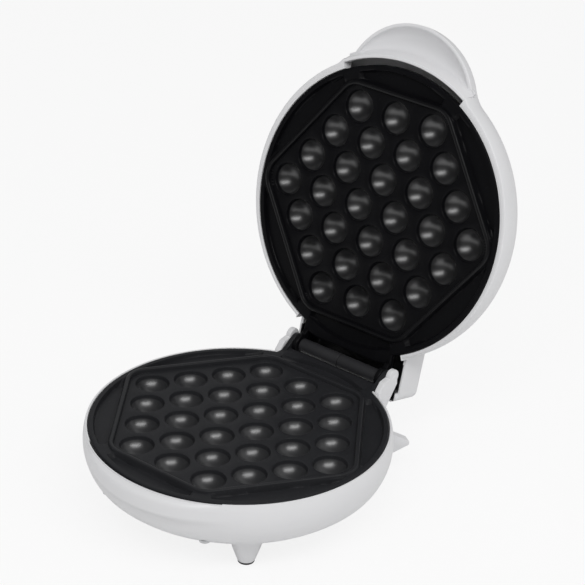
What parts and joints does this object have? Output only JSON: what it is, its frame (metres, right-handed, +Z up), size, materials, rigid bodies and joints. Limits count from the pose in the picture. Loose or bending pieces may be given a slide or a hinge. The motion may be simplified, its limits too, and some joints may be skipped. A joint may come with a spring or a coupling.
{
  "type": "bubble waffle maker",
  "caption": "Open two-plate electric bubble waffle maker with a hinged domed lid, a lift handle, round cup plates and a footed round base.",
  "frame": {"origin": "middle of the whole open object's box in X and Y, on the surface that the feet stand on", "axes": "+X along the hinge to the viewer's right, +Y from the thumb lip towards the hinge and the open lid, +Z up"},
  "size_m": [0.209, 0.3038, 0.289],
  "materials": {
    "body_plastic": "glossy moulded",
    "foot_rubber": "matt",
    "non_stick": "satin non-stick coating",
    "heater_sheath": "dull",
    "tray_metal": "bright rolled",
    "zinc_steel": "zinc plated",
    "gland_rubber": "satin",
    "terminal_plastic": "matt",
    "thermostat_metal": "dull",
    "fuse_metal": "satin",
    "pin_steel": "ground",
    "sleeve_dark": "satin dark grey",
    "screw_black": "blackened",
    "holder_plastic": "matt",
    "lens_red": "glossy clear red",
    "lens_green": "glossy clear green",
    "lamp_glass": "clear"
  },
  "bodies": {
    "base": {"base_housing": "body_plastic", "foot_pads": "foot_rubber", "base_plate": "non_stick", "base_heater": "heater_sheath", "base_reflector": "tray_metal", "base_spacers": "zinc_steel", "base_screws": "zinc_steel", "cord_gland": "gland_rubber", "terminal_block": "terminal_plastic", "thermostat": "thermostat_metal", "thermal_fuse": "fuse_metal", "hinge_pin": "pin_steel", "hinge_sleeve_left": "sleeve_dark", "hinge_sleeve_right": "sleeve_dark"},
    "lid": {"lid_housing": "body_plastic", "lid_plate": "non_stick", "lid_heater": "heater_sheath", "lid_reflector": "tray_metal", "lid_nuts": "zinc_steel", "lid_screws": "screw_black", "lamp_holder": "holder_plastic", "power_lens": "lens_red", "ready_lens": "lens_green", "power_lamp": "lamp_glass", "ready_lamp": "lamp_glass"}
  },
  "joints": [
    {"name": "lid_hinge", "type": "hinge", "parent": "base", "child": "lid", "pos_m": [0, 0.06518, 0.06055], "axis": [1, 0, 0], "range_deg": [0, 104.76]}
  ]
}
